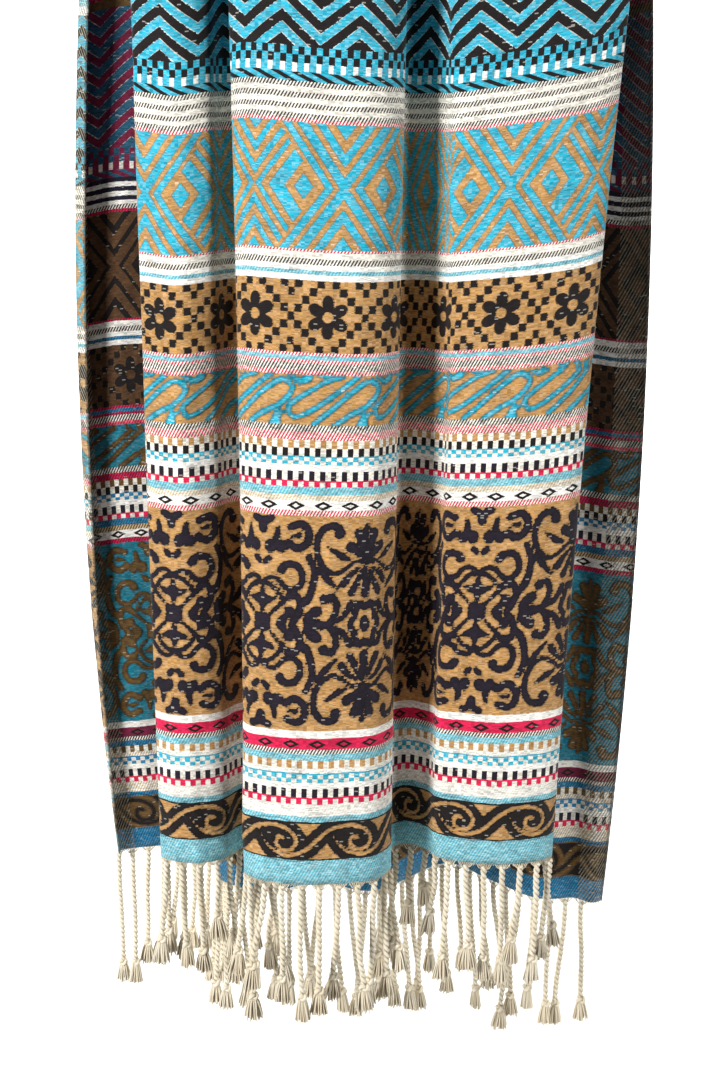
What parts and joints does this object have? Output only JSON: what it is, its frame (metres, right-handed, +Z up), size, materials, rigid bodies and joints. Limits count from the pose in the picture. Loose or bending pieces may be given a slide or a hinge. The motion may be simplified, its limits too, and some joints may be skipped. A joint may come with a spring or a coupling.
{
  "type": "fringed scarf",
  "caption": "Long patterned woven scarf with a twisted fringe at both ends, folded in half over an unseen rail so that its two falls hang in deep folds.",
  "frame": {"origin": "the inside of the bend at its middle, on the scarf's mid plane, where the scarf is held", "axes": "+Z up, the front fall towards -Y and the back fall towards +Y, X along the rail that the scarf hangs over"},
  "size_m": [0.5618, 0.2853, 1.1878],
  "materials": {
    "cloth": "woven jacquard, soft satin floats",
    "fringe": "twisted two-ply yarn"
  },
  "bodies": {
    "root": {"front_fall": "cloth", "top_bend": "cloth", "back_fall": "cloth", "front_fringe": "fringe", "back_fringe": "fringe"}
  },
  "joints": []
}
